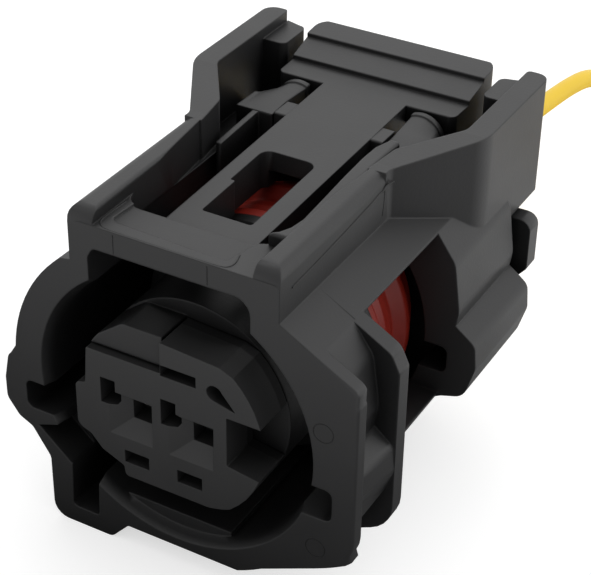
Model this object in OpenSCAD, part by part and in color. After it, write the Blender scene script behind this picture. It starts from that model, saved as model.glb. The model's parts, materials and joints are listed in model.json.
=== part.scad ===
// Two-way sealed wire connector, female half: keyed hood round a socket tower,
// interface seal, front terminal holder, rocking latch lever and two sealed wires.
//
// Frame: origin on the mating axis in the plane of the hood's rim,
// +X to the right seen from the mating side, +Y towards the wires, +Z up.

/* [Hood] */
// Outside radius of the round shell
shell_r = 11.4; // [11.2:0.05:12]
// Wall of the round shell
shell_wall = 1.95; // [1.6:0.05:2.3]
// Depth from the rim to the front of the rear block
window_end = 15.5; // [15:0.1:16]
// Depth from the rim to the back of the second flange
flange_back = 5.5; // [5.2:0.1:6]
// Thickness of the second flange
flange_t = 1.2; // [1:0.1:1.6]
// Half width of the squared side of the flanges
side_x = 12.83; // [12.6:0.01:13.2]
// Depth of the annular space that takes the mating half
socket_depth = 18; // [17.5:0.1:19]

/* [Latch channel] */
// Half width over the guard walls
guard_x = 7.2; // [7:0.05:7.6]
// Thickness of the guard walls
guard_t = 1.73; // [1.4:0.01:1.9]
// Top of the guard walls above the mating axis
guard_top = 12.85; // [12.5:0.05:13.2]
// Underside of the front bar above the mating axis
bar_z = 10.3; // [10:0.05:10.8]
// Height of the front bar
bar_h = 1.6; // [1.3:0.1:1.9]
// Depth of the front panel behind the rim
panel_d = 3.25; // [2.8:0.05:3.8]

/* [Flared wings] */
// Half width over the wings behind the latch
wing_x = 10.85; // [10.6:0.05:11.2]
// Thickness of a wing
wing_t = 1.63; // [1.3:0.01:1.9]
// Where the wings start to spread
wing_start = 13.4; // [13:0.1:14]
// Where the wings run straight again
wing_full = 19.6; // [19:0.1:20.5]
// Rear end of the wings
wing_end = 29.35; // [28.5:0.05:30]

/* [Tower] */
// Radius of the round socket tower
tower_r = 6.75; // [6.5:0.05:6.9]
// Height from the mating axis down to the tower's flat underside
tower_flat = 5.65; // [5.4:0.05:6]
// Distance between the two terminals
pitch = 4.4; // [4.2:0.1:4.6]

/* [Latch lever] */
// Half width of the lever's arm
arm_x = 3.13; // [2.8:0.01:3.4]
// Thickness of the arm
arm_t = 1.4; // [1.1:0.1:1.7]
// Half width of the press bar
press_x = 6.65; // [6.3:0.05:6.8]
// Rear end of the press bar
press_end = 30.36; // [29.8:0.02:30.6]
// Distance of the pivot behind the rim
pivot_y = 19.6; // [19.2:0.1:20]
// Radius of the pivot pins
pivot_r = 0.6; // [0.5:0.05:0.65]

/* [Seals and wires] */
// Outside diameter of the wire insulation
wire_d = 1.5; // [1.3:0.1:1.7]
// Outside radius of the interface seal over its ribs
seal_r = 8.3; // [8:0.05:8.6]
// Width of the terminal boxes
terminal_w = 1.9; // [1.7:0.1:2]

/* [Hidden] */
$fn = 64;
fit = 0.1;                 // clearance between pieces that slide or seat
eps = 0.01;                // overlap of cuts past a face
shell_x = -0.2;            // centre of the round shell
inner_r = shell_r - shell_wall;
guard_in = guard_x - guard_t;
bar_top = bar_z + bar_h;
wing_in = wing_x - wing_t;
block_end = 24;            // rear face of the rear block
core_end = 28;             // rear face of the wire entries
key_x = side_x + 0.15;     // half width over the keyway ears
arm_front = panel_d + 0.15;
arm_z0 = 10.9;             // top of the arm at its front end
arm_z1 = 11.45;            // top of the arm at the press bar
pivot_z = 10.2;
boss_in = 4.1;             // inner and outer faces of the pivot bosses
boss_out = 5.6;
boss_top = 11.3;
boss_front = 13.9;
rib_low = seal_r + 0.25;   // lower edge of the ribs under the lever's arm
wing_top = 13.08;          // top of the wings at the rear
flare_x = 6.35;            // inner face of the guards where the wings begin
shell_flat = 10.45;        // underside of the shell
low_key_end = 11;          // inner end of the lower left keyway's box
press_low = 8.9;           // lower edge of the press bar
step_1 = press_end - 6.58; // front edges of the press bar's three bands
boss_end = step_1 - 0.4;
step_2 = press_end - 4.41;
step_3 = press_end - 2.32;
cavity_mid = 0.1;          // middle between the two terminals
holder_x = -0.66;          // step of the holder beside the tower's upper left face
holder_z = 3.35;
wire_r = wire_d / 2;
cavity_r = 1.85;           // bore that takes a wire seal
cavity_w = terminal_w + 2 * fit;
front_y = -0.5;            // face of the tower, just proud of the rim
holder_back = 2.6;         // rear face of the front holder
seat_y = 9.9;              // shoulder that the interface seal sits against
floor_z = -11.9;           // surface that the part lies on: the lowest key's underside

BLACK = [0.13, 0.13, 0.135];
DARK = [0.10, 0.10, 0.105];
RED = [0.62, 0.09, 0.06];
TIN = [0.72, 0.72, 0.70];
YELLOW = [0.96, 0.82, 0.16];
COPPER = [0.80, 0.45, 0.25];

// Which sub-part to build

// ---------------------------------------------------------------- helpers

// Extrudes an XZ outline between two depths along Y.
module along_y(y0, y1) {
    translate([0, y1, 0]) rotate([90, 0, 0]) linear_extrude(height = y1 - y0) children();
}

// Extrudes a YZ outline symmetrically about x = 0.
module across_x(x0, x1) {
    translate([x0, 0, 0]) rotate([90, 0, 90]) linear_extrude(height = x1 - x0) children();
}

// Repeats its children on both sides of the mating plane.
module both_sides() {
    children();
    mirror([1, 0, 0]) children();
}

function unit(v) = v / norm(v);
function flat(p) = [p[0], p[1]];

// Arc that rounds the corner p1 between p0 and p2 with radius r.
function corner(p0, p1, p2, r, n) = r == 0 ? [p1] :
    let (u = unit(p0 - p1), v = unit(p2 - p1),
         half = acos(u * v) / 2,
         c = p1 + unit(u + v) * r / sin(half),
         s = p1 + u * r / tan(half) - c,
         e = p1 + v * r / tan(half) - c,
         a0 = atan2(s[1], s[0]),
         turn = (atan2(e[1], e[0]) - a0 + 540) % 360 - 180)
    [for (i = [0:n]) c + r * [cos(a0 + turn * i / n), sin(a0 + turn * i / n)]];

// Outline from corners written as [x, z, radius].
function rounded(p, n = 5) = [for (i = [0:len(p) - 1])
    each corner(flat(p[(i + len(p) - 1) % len(p)]), flat(p[i]),
                flat(p[(i + 1) % len(p)]), p[i][2], n)];

// ---------------------------------------------------------------- housing outlines

// Round shell with a flat underside.
module shell_outline(r) {
    intersection() {
        translate([shell_x, 0]) circle(r = r, $fn = 96);
        translate([-20, -shell_flat]) square([40, 40]);
    }
}

// Shoulder that falls from a guard wall to the side of the shell.
module shoulder_outline() {
    polygon(rounded([[0, 9.4, 0], [guard_x, 9.4, 0], [9.69, 8.0, 0.3], [11.05, 6.1, 1.6],
        [shell_r + 0.15, 2.6, 2.5], [shell_r - 0.1, 1, 0], [0, 1, 0]]));
}

// Ear outside a keyway, on the right of the shell.
module ear_outline(top, tip, low) {
    polygon(rounded([[8.5, top + 1.4, 0], [shell_r, top, 1.2], [tip - 0.15, top - 1.1, 0.9],
        [tip, top - 2.9, 1.2], [tip - 0.7, low + 0.5, 1.1], [10.7, low, 0.9],
        [8.5, low - 1.2, 0]]));
}

// Squared right side of the flanges.
module right_side_outline() {
    polygon(rounded([[0, bar_top, 0], [guard_x, bar_top, 0.4], [guard_x, 9.4, 0],
        [12.25, 6.5, 1.0], [side_x, 5.3, 0.6], [side_x, -6.3, 2.4],
        [4.1, -shell_flat, 3], [0, -shell_flat, 0]]));
}

// Left half: round shell, side key and lower corner key.
module left_side_outline() {
    polygon(rounded([[0, bar_top, 0], [-guard_x, bar_top, 0.9], [-guard_x, 8.4, 0],
        [0, 8, 0]]));
    polygon(rounded([[-9, 1.3, 0], [-11.4, 1.1, 0.4], [-12.6, 0.1, 0.8],
        [-key_x, -1.8, 0.9], [-key_x, -3.4, 0.9], [-12.1, -4.6, 0.7], [-11.1, -5.1, 0.6],
        [-9.8, -7.1, 0.8], [-9.8, -11.9, 1.1],
        [-5.2, -11.9, 0.7], [-3.9, -shell_flat, 0.3], [0.1, -shell_flat, 0], [0.1, -9, 0]]));
}

// Whole outline of the hood's rim.
module rim_outline() {
    shell_outline(shell_r);
    left_side_outline();
    right_side_outline();
    translate([-4, -shell_flat]) square([8, 3]);
}

// Clear space inside the hood: round bore, latch window, keyways.
module bore_outline() {
    difference() {
        shell_outline(inner_r);
        translate([-4.6, -10]) square([8, 10 - 8.45]);
    }
    // latch window under the front bar
    polygon(rounded([[-5.9, 0, 0], [-5.9, 9.6, 0], [-5.5, bar_z, 0.5],
        [5.3, bar_z, 1.1], [5.3, 0, 0]]));
    // keyway at the left
    polygon(rounded([[-7.5, -1.4, 0], [-11.35, -1.4, 0.5], [-11.35, -3.55, 0.5],
        [-7.5, -3.55, 0]]));
}

// Keyway at the lower left, closed at its inner end.
module low_keyway_outline() {
    polygon(rounded([[-7.8, -4.6, 0], [-9.1, -4.8, 0], [-9.1, -11.3, 0.3],
        [-6.05, -11.3, 0.3], [-6.05, -7, 0], [-7, -6, 0]]));
}

// Keyway at the right: lower in the hood, raised in the rear block.
module right_keyway_outline(z0, z1) {
    polygon(rounded([[7.5, z1, 0], [10.9, z1, 0.5], [10.9, z0, 0.5], [7.5, z0, 0]]));
}

// Lead-in at the rim of the bore.
module lead_in() {
    translate([shell_x, 0.9, 0]) rotate([90, 0, 0])
        cylinder(h = 0.9 + eps, r1 = inner_r, r2 = inner_r + 0.35, $fn = 96);
}

// ---------------------------------------------------------------- housing pieces

// Side view of a guard wall: rounded up from the front bar, level to the rear.
module guard_side() {
    polygon(rounded([[0, 6, 0], [0, guard_top, 1.15], [window_end, guard_top, 0],
        [window_end, 6, 0]]));
}

// Guard wall with a rounded top.
module guard_outline() {
    polygon(rounded([[guard_in, 6.6, 0], [guard_in, guard_top, 0.3],
        [guard_x, guard_top, 0.75], [guard_x, 6.6, 0]]));
}

// The channel widens slowly towards the wings.
module channel_flare() {
    translate([0, 0, 9.4]) linear_extrude(height = 6) polygon([[guard_in - 0.1, 6],
        [guard_in, 7], [flare_x, window_end + 0.2], [guard_in - 0.1, window_end + 0.2]]);
}

// Front hood with its two flanges and the groove between them.
module front_hood() {
    difference() {
        along_y(0, flange_back) rim_outline();
        // groove between the flanges at the right
        along_y(1, flange_back - flange_t) difference() {
            translate([7, -12]) square([8, 20.5]);
            shell_outline(shell_r);
            shoulder_outline();
            ear_outline(1.0, side_x, -4.4);
        }
        // the latch channel is open behind the front panel
        translate([0, 0, bar_z - 2]) linear_extrude(height = 8) polygon(rounded([
            [-guard_in, window_end, 0], [-guard_in, panel_d, 1.2],
            [guard_in, panel_d, 2.2], [guard_in, window_end, 0]]));
    }
}

// Guard walls along the latch channel.
module guards() {
    both_sides() difference() {
        intersection() {
            along_y(0, wing_start + 0.6) guard_outline();
            across_x(0, 20) guard_side();
        }
        channel_flare();
    }
    // shoulder plate over the right side window
    along_y(flange_back - 1, window_end + eps) difference() {
        shoulder_outline();
        translate([0, -1]) square([20, 8.85]);
        translate([-1, 0]) square([1 + guard_in, 20]);
        translate([9.69, 0]) square([5, 20]);
    }
}

// Wings that spread outwards behind the guards and shield the press bar.
module wings() {
    both_sides() difference() {
        intersection() {
            translate([0, 0, 2.9]) linear_extrude(height = 12)
                polygon(rounded([[flare_x - 0.4, wing_start - 0.6, 0],
                    [guard_x, wing_start - 0.6, 0], [guard_x, wing_start, 1.0],
                    [wing_x, wing_full, 3.5], [wing_x, wing_end, 0.9], [wing_in, wing_end, 0.3],
                    [wing_in, wing_full + 0.4, 1.3], [flare_x, window_end + 0.2, 1.2]]));
            across_x(0, 20) polygon(rounded([[wing_start - 2, 0, 0],
                [wing_start - 2, guard_top, 0], [wing_start + 0.3, guard_top, 1],
                [wing_full, wing_top, 1], [wing_end + 1, wing_top, 0], [wing_end + 1, 0, 0]]));
        }
        // the wings stand on the shoulder in front of the rear block
        translate([0, 0, 0]) cube([20, window_end, 7.9]);
        // foot chamfered inwards
        along_y(wing_start - 2, wing_end + 1)
            polygon([[wing_x + 1, 2], [wing_x + 1, 6.2], [wing_x - 1.3, 2.9], [wing_x - 1.3, 2]]);
    }
    // inward lips at the rear ends of the wings
    both_sides() translate([0, 0, 7.4]) linear_extrude(height = 12.3 - 7.4)
        polygon(rounded([[7.5, 26.1, 0.5], [wing_in + eps, 26.1, 0], [wing_in + eps, 29.3, 0],
            [7.5, 29.3, 0.6]]));
}

// Outline of the rear block.
module block_outline() {
    shell_outline(shell_r);
    both_sides() {
        shoulder_outline();
        ear_outline(1.5, key_x, -4.3);
    }
}

// Rear block, root wall, wire entries and the lugs at the sides.
module rear_block() {
    along_y(window_end, block_end) difference() {
        block_outline();
        translate([-guard_in, press_low - 0.7]) square([2 * guard_in, 6]);
    }
    // wire entries behind the block
    along_y(block_end - eps, core_end) polygon(rounded([[-6.4, -4.2, 2], [6.4, -4.2, 2],
        [6.4, 4.2, 2], [-6.4, 4.2, 2]]));
    // side lugs
    both_sides() along_y(25.4, 26.8) polygon(rounded([[6, 4.3, 0], [12.1, 4.3, 0.8],
        [12.1, 0.6, 0.3], [11, -0.7, 0.3], [6, -0.7, 0]]));
}

// Shell between the hood and the rear block: closed at the left, open at the right side.
module middle_shell() {
    along_y(flange_back - eps, window_end + eps) difference() {
        union() {
            shell_outline(shell_r);
            mirror([1, 0, 0]) ear_outline(1.1, key_x, -4.8);
            translate([-guard_x, 6]) square([guard_x - guard_in, 4]);
        }
        translate([0, -4.1]) square([20, 30]);
        translate([-guard_in, 0]) square([2 * guard_in, 30]);
    }
    // box of the lower left keyway
    along_y(flange_back - eps, low_key_end) polygon(rounded([[-9, -5, 0], [-9.8, -7.1, 0],
        [-9.8, -11.9, 1.1], [-5.2, -11.9, 0.7], [-4.6, -10.4, 0], [-7, -5, 0]]));
}

// Bosses beside the lever's slots that carry its pivot: a thin web in front, a
// rounded bar behind.
module pivot_bosses() {
    both_sides() difference() {
        intersection() {
            translate([0, 0, 8]) linear_extrude(height = 5) polygon(rounded([
                [boss_out - 0.4, boss_front, 0.1], [boss_out, boss_front, 0.1],
                [boss_out, boss_end, 0.7], [boss_in, boss_end, 0.7],
                [boss_in, pivot_y - 1, 0.1], [boss_out - 0.4, pivot_y - 1, 0.1]]));
            across_x(0, 10) polygon([[boss_front - 1, 7], [boss_front - 1, boss_top - 0.5],
                [boss_end + 1, boss_top + 0.05], [boss_end + 1, 7]]);
            union() {
                along_y(boss_front - 1, boss_end + 1) polygon(rounded([[boss_in, 7, 0],
                    [boss_out, 7, 0], [boss_out, boss_top, 0.55], [boss_in, boss_top, 0.55]]));
                along_y(boss_front - 1, pivot_y - 0.8) translate([boss_out - 1, 7])
                    square([1, 5]);
            }
        }
        translate([0, pivot_y, pivot_z]) rotate([0, 90, 0])
            cylinder(h = boss_out - 0.4, r = pivot_r + fit, $fn = 48);
    }
}

// Outline of the tower: round with a flat underside.
module tower_outline() {
    intersection() {
        translate([shell_x, 0]) circle(r = tower_r, $fn = 96);
        translate([-10, -tower_flat]) square([20, 20]);
    }
}

// Key slot along the right side of the tower.
module tower_slot() {
    along_y(front_y - 1, seat_y - 0.6) translate([3.96, -1.82]) square([4, 3.63]);
}

// Socket tower that carries the terminals.
module tower() {
    difference() {
        union() {
            along_y(holder_back + fit, seat_y) tower_outline();
            along_y(seat_y - eps, socket_depth + 1) translate([shell_x, 0])
                circle(r = tower_r, $fn = 96);
            // upper left of the tower's face, beside the holder
            along_y(front_y + 0.45, holder_back + 1) intersection() {
                tower_outline();
                polygon(rounded([[-7, holder_z + 0.2, 0], [holder_x - fit, holder_z + 0.2, 0],
                    [holder_x - fit, 5.65, 0], [-3.6, 5.65, 0.8], [-6.6, 3.4, 0]]));
            }
        }
        tower_slot();
    }
}

// Bores and passages for the two terminals and their wire seals.
module cavities() {
    for (s = [-1, 1]) translate([cavity_mid + s * pitch / 2, 0, 0]) {
        along_y(19, core_end + 1) circle(r = cavity_r, $fn = 48);
        along_y(front_y - 1, 19 + eps) translate([-cavity_w / 2, -cavity_w / 2])
            square(cavity_w);
    }
}

// The housing: hood, latch channel, tower and rear block in one moulding.
module housing() {
    color(BLACK) difference() {
        union() {
            difference() {
                union() {
                    front_hood();
                    guards();
                    middle_shell();
                    rear_block();
                    wings();
                }
                along_y(-1, socket_depth) bore_outline();
                along_y(-1, low_key_end - 0.9) low_keyway_outline();
                along_y(-1, window_end - 1) right_keyway_outline(-3.65, -1.3);
                along_y(window_end - 1, socket_depth) right_keyway_outline(-2.4, -0.4);
                // room for the ends of the press bar
                along_y(boss_end, block_end + 1) translate([-press_x - 0.4, press_low - 0.7])
                    square([2 * press_x + 0.8, 4]);
                along_y(-eps, 2.5) polygon([[-10.6, -4.8], [-9.15, -7.3], [-7, -6], [-8.5, -4]]);
                lead_in();
            }
            front_panel();
            pivot_bosses();
            tower();
        }
        cavities();
        panel_recess();
    }
}

// Front bar and panel over the latch window.
module front_panel() {
    across_x(-guard_in - 0.2, guard_in + 0.2) polygon(rounded([[0, bar_z, 0.2],
        [0, bar_top, 0.25], [panel_d, bar_top, 0.35], [panel_d, bar_z, 0.2]]));
}

// Shallow recess in the top of the front panel, open to the rear.
module panel_recess() {
    translate([0, 0, bar_top - 0.18]) linear_extrude(height = 2) polygon(rounded([
        [-4.9, 1.1, 0.5], [3.3, 0.75, 0.5], [3.9, panel_d + 1, 0], [-4.7, panel_d + 1, 0]]));
}

// ---------------------------------------------------------------- latch lever

// Side profile of the lever's arm, up to the press bar.
module lever_profile() {
    polygon(rounded([[arm_front, arm_z0 - arm_t, 0.2], [arm_front, arm_z0, 0.3],
        [step_1, arm_z1, 0], [step_2, arm_z1, 0], [step_2, arm_z1 - arm_t, 0],
        [step_1, arm_z1 - arm_t, 0]]));
}

// Side profile of the press bar with its two grip steps.
module press_profile() {
    polygon(rounded([[step_1, arm_z1 - arm_t, 0.3], [step_1, arm_z1, 0.1],
        [step_2, arm_z1, 0], [step_2, arm_z1 + 0.3, 0.08], [step_3, arm_z1 + 0.82, 0],
        [step_3, arm_z1 + 1.12, 0.08], [press_end, arm_z1 + 1.3, 0.25],
        [press_end, press_low, 0.4], [press_end - 1.4, press_low, 0.3],
        [press_end - 1.4, arm_z1 - 0.4, 0.5], [step_2 - 0.4, arm_z1 - arm_t, 0.2]]));
}

// Press bar, closed at both ends and rounded at its corners.
module press_bar() {
    intersection() {
        union() {
            across_x(-press_x - 0.2, press_x + 0.2) press_profile();
            both_sides() across_x(press_x - 1.1, press_x + 0.2) polygon(rounded([
                [step_1 + 0.5, press_low + 0.4, 0.4], [step_1, arm_z1 - 0.3, 0.2],
                [press_end - 0.3, arm_z1 + 0.3, 0.3], [press_end - 0.3, press_low, 0.4]]));
        }
        linear_extrude(height = 30) polygon(rounded([[-press_x, step_1, 0.5],
            [press_x, step_1, 0.5], [press_x + 0.2, press_end, 1.2],
            [-press_x - 0.2, press_end, 1.2]]));
    }
}

// Pivot: flush ears on the arm and pins that turn in the bosses.
module pivot() {
    across_x(-boss_in + fit, boss_in - fit) polygon(rounded([
        [pivot_y - 0.95, pivot_z - 0.7, 0.3], [pivot_y + 0.95, pivot_z - 0.7, 0.3],
        [pivot_y + 0.95, boss_top, 0.15], [pivot_y - 0.95, boss_top, 0.15]]));
    translate([-boss_out + 0.5, pivot_y, pivot_z]) rotate([0, 90, 0])
        cylinder(h = 2 * boss_out - 1, r = pivot_r, $fn = 48);
}

// The latch lever: arm with its window, pivot and press bar.
module latch_lever() {
    color(BLACK) difference() {
        union() {
            across_x(-arm_x, arm_x) lever_profile();
            press_bar();
            pivot();
            // stiffening ribs under the arm
            both_sides() across_x(1.75, arm_x) polygon(rounded([
                [arm_front + 1.2, arm_z0 - 1, 0], [arm_front + 2, rib_low, 0.5],
                [17.6, rib_low, 1], [pivot_y, arm_z1 - 2.3, 1],
                [step_1 + 0.8, arm_z1 - 2.1, 0.2], [step_1 + 0.8, arm_z1 - 1, 0]]));
        }
        // latch window
        translate([0, 0, 5]) linear_extrude(height = 10) polygon(rounded([[-1.75, 6.1, 0.2],
            [1.75, 6.1, 0.2], [1.75, 14.2, 0.7], [-2.1, 14.2, 0.7], [-2.1, 10, 0.1],
            [-1.75, 10, 0.1]]));
    }
}

// ---------------------------------------------------------------- front holder

// Outline of the holder's face: round with a lug at the left, a step at the upper
// left for the tower's face and the key slot at the right.
module holder_outline() {
    slot_top = asin(1.81 / tower_r);
    polygon(concat(
        rounded([[shell_x + tower_r * cos(18.5), -tower_r * sin(18.5), 0], [3.96, -1.82, 0.1],
            [3.96, 1.81, 0.1], [shell_x + tower_r * cos(slot_top), 1.81, 0]], 2),
        [for (a = [slot_top + 3:7:52]) [shell_x + tower_r * cos(a), tower_r * sin(a)]],
        rounded([[3.5, tower_r - 1.45, 0], [holder_x, tower_flat - 0.05, 0.1],
            [holder_x, holder_z, 0.05], [-6.05, holder_z, 0.1], [-6.25, 0.6, 0.2],
            [-7.0, 0.4, 0.4], [-7.0, -2.9, 0.6], [-6.0, -3.3, 0.2], [-5.2, -4.2, 0.4],
            [-3.6, -4.9, 0.2], [-3.5, -tower_flat, 0.3], [2.7, -tower_flat, 1.5],
            [3.6, 1.35 - tower_r, 0]], 4),
        [for (a = [-50:7.5:-20]) [shell_x + tower_r * cos(a), tower_r * sin(a)]]));
}

// Tab opening through the holder with its lead-in below and to the left.
module tab_opening() {
    along_y(front_y - 1, holder_back + 1) translate([-0.75, -0.67]) square([1.5, 1.3]);
    hull() {
        along_y(front_y - eps, front_y) polygon([[-0.75, 0.63], [-2.3, -0.4], [-2.3, -2.5],
            [0.75, -2.3], [0.75, 0.63]]);
        along_y(front_y + 0.35, front_y + 0.35 + eps) translate([-0.75, -0.67])
            square([1.5, 1.3]);
    }
}

// Front holder that locks the terminals, with its tab openings and windows.
module front_holder() {
    color(DARK) difference() {
        along_y(front_y, holder_back) holder_outline();
        for (s = [-1, 1]) translate([cavity_mid + s * pitch / 2, 0, 0]) {
            tab_opening();
            along_y(1.2 - fit, holder_back + 1) translate([-cavity_w / 2, -cavity_w / 2])
                square(cavity_w);
            // probe opening beside the tab opening
            along_y(front_y - 1, holder_back + 1) polygon([[-3.0, -0.43], [-3.0, 1.46],
                [-1.92, 1.46], [-1.92, 0.67], [-1.7, 0.67], [-1.7, -0.13], [-1.92, -0.43]]);
            // window under the tab opening
            along_y(front_y - 1, 1.6) translate([-1.4, -4.55]) square([1.8, 0.95]);
        }
        // slot and keyhole of the right upper face
        along_y(front_y - 1, holder_back + 1) translate([holder_x + 0.02, 3.2]) square([2.5, 0.78]);
        along_y(front_y - 1, holder_back + 1) union() {
            translate([3.15, 3.3]) circle(r = 0.55, $fn = 32);
            polygon([[2.95, 2.79], [4.6, 2.4], [3.6, 3.6]]);
        }
    }
}

// ---------------------------------------------------------------- seals

// Interface seal: a sleeve with a broad front rib and two rear ribs, seated on the tower.
module interface_seal() {
    color(RED) translate([shell_x, seat_y + 7.6, 0]) rotate([90, 0, 0]) rotate_extrude($fn = 96)
        polygon(rounded([[tower_r, 0, 0], [tower_r + 0.8, 0, 0.2], [tower_r + 0.8, 1.0, 0.3],
            [seal_r, 1.8, 0.35], [seal_r, 2.3, 0.35], [tower_r + 0.8, 3.0, 0.3],
            [tower_r + 1.0, 3.6, 0.3], [tower_r + 1.1, 4.3, 0.3], [tower_r + 0.8, 5.1, 0.2],
            [seal_r, 5.6, 0.3], [seal_r, 6.6, 0.3], [tower_r + 0.8, 7.2, 0.2],
            [tower_r, 7.2, 0]]));
}

// Wire seal with three ribs in its bore, round the wire.
module wire_seal(x) {
    color(RED) translate([x, core_end - 0.6, 0]) rotate([90, 0, 0]) rotate_extrude($fn = 48)
        polygon([[wire_r, 0], [cavity_r - 0.35, 0], [cavity_r - 0.35, 0.5], [cavity_r, 1.1],
            [cavity_r - 0.35, 1.7], [cavity_r - 0.35, 2.2], [cavity_r, 2.8],
            [cavity_r - 0.35, 3.4], [cavity_r - 0.35, 3.9], [cavity_r, 4.5],
            [cavity_r - 0.35, 5.1], [cavity_r - 0.35, 6.4], [wire_r, 6.4]]);
}

// ---------------------------------------------------------------- terminals

// Female terminal: contact box, neck, conductor crimp and insulation crimp.
module terminal(x) {
    color(TIN) translate([x, 0, 0]) {
        difference() {
            along_y(1.2, 9.2) square(terminal_w, center = true);
            along_y(1, 9) translate([-0.65, -0.55]) square([1.3, 1.0]);
        }
        along_y(9.2 - eps, 11.4) translate([-0.7, -terminal_w / 2]) square([1.4, 0.5]);
        along_y(11.4 - eps, 14) difference() {
            translate([-0.8, -terminal_w / 2]) square([1.6, 1.5]);
            circle(r = 0.45, $fn = 32);
        }
        along_y(14, 14.8 + eps) translate([-0.7, -terminal_w / 2]) square([1.4, 0.2]);
        along_y(14.8, 17.4) difference() {
            square(terminal_w, center = true);
            circle(r = wire_r, $fn = 32);
        }
    }
}

// Stranded conductor gripped by the crimp.
module conductor(x) {
    color(COPPER) along_y(11.2, 14.6) translate([x, 0]) circle(r = 0.45, $fn = 32);
}

// ---------------------------------------------------------------- wires

wire_z = floor_z + wire_d / 2;      // centre of a wire that lies on the surface
coil_r = 7.5;                       // middle of a coil's turns
coil_turns = 2;

// Routes from the crimp outwards, chosen by hand.
right_route = [[2.3, 14.6, 0], [2.3, 18, 0], [2.3, 22, 0], [2.3, 26, 0], [2.3, 30, 0],
    [2.4, 34, 0], [2.5, 38, 0], [2.7, 42, 0], [2.9, 46, 0], [3.2, 50, -0.1],
    [3.7, 54, -0.2], [4.2, 57, -0.6], [4.7, 59.4, -1.8], [5.1, 61, -3.8],
    [5.3, 62, -6.2], [5.3, 63, -8.6], [5.1, 64.6, -10.4], [4.9, 67, wire_z],
    [4.8, 69, wire_z]];
left_route = [[-2.1, 14.6, 0], [-2.1, 18, 0], [-2.1, 22, 0], [-2.1, 26, 0], [-2.1, 30, 0],
    [-2.1, 33, -0.3], [-1.9, 36, -1.4], [-1.6, 38.4, -3.4], [-1.2, 40.2, -6],
    [-0.8, 42, -8.6], [-0.3, 44, -10.5], [0.2, 46.4, wire_z], [0.4, 49, wire_z]];

function sub(a, b) = [a[0] - b[0], a[1] - b[1], a[2] - b[2]];
function tangent(p, i) = unit(sub(p[min(i + 1, len(p) - 1)], p[max(i - 1, 0)]));
function ring(p, i, r, n) = let (t = tangent(p, i), side = unit(cross(t, [0, 0, 1])), up = cross(side, t))
    [for (k = [0:n - 1]) p[i] + r * (cos(k * 360 / n) * side + sin(k * 360 / n) * up)];

// Tube of n sides swept along a route.
module tube(route, r, n = 8) {
    m = len(route);
    points = [for (i = [0:m - 1]) each ring(route, i, r, n)];
    sides = [for (i = [0:m - 2]) for (k = [0:n - 1])
        [i * n + k, i * n + (k + 1) % n, (i + 1) * n + (k + 1) % n, (i + 1) * n + k]];
    ends = [[for (k = [0:n - 1]) n - 1 - k], [for (k = [0:n - 1]) (m - 1) * n + k]];
    polyhedron(points = points, faces = concat(sides, ends));
}

module wire(route) {
    color(YELLOW) tube(route, wire_r);
}

// Outer shape of the coil of spare wire, starting tangent to the route's end.
module coil(end, side) {
    color(YELLOW) translate([end[0] + side * coil_r, end[1], floor_z])
        rotate_extrude($fn = 64)
        translate([coil_r - wire_d / 2, 0]) square([wire_d, coil_turns * wire_d]);
}

// Cable tie round the coil.
module coil_tie(end, side) {
    color(DARK) difference() {
        translate([end[0] + 2 * side * coil_r - wire_d / 2 - 0.6, end[1] - 0.9, floor_z])
            cube([wire_d + 1.2, 1.8, coil_turns * wire_d + 0.6]);
        coil(end, side);
    }
}

right_end = right_route[len(right_route) - 1];
left_end = left_route[len(left_route) - 1];

housing();
latch_lever();
front_holder();
interface_seal();
terminal(cavity_mid - pitch / 2);  // terminal_left
terminal(cavity_mid + pitch / 2);  // terminal_right
wire_seal(cavity_mid - pitch / 2);  // wire_seal_left
wire_seal(cavity_mid + pitch / 2);  // wire_seal_right
conductor(cavity_mid - pitch / 2);  // conductor_left
conductor(cavity_mid + pitch / 2);  // conductor_right
wire(left_route);  // wire_left
wire(right_route);  // wire_right
coil(left_end, -1);  // coil_left
coil(right_end, 1);  // coil_right
coil_tie(left_end, -1);  // coil_tie_left
coil_tie(right_end, 1);  // coil_tie_right
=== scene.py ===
"""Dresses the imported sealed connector: finishes, soft edges, moulded marks, wires and studio.

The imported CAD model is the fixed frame.  Every piece made here rides on one of its bodies, and
every place is worked out from the few driving sizes below, in millimetres unless a name says
otherwise.
"""

import json
import logging
import math
from dataclasses import dataclass
from enum import Enum
from typing import Any, Sequence

import bmesh
import bpy
from mathutils import Matrix, Vector

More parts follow.
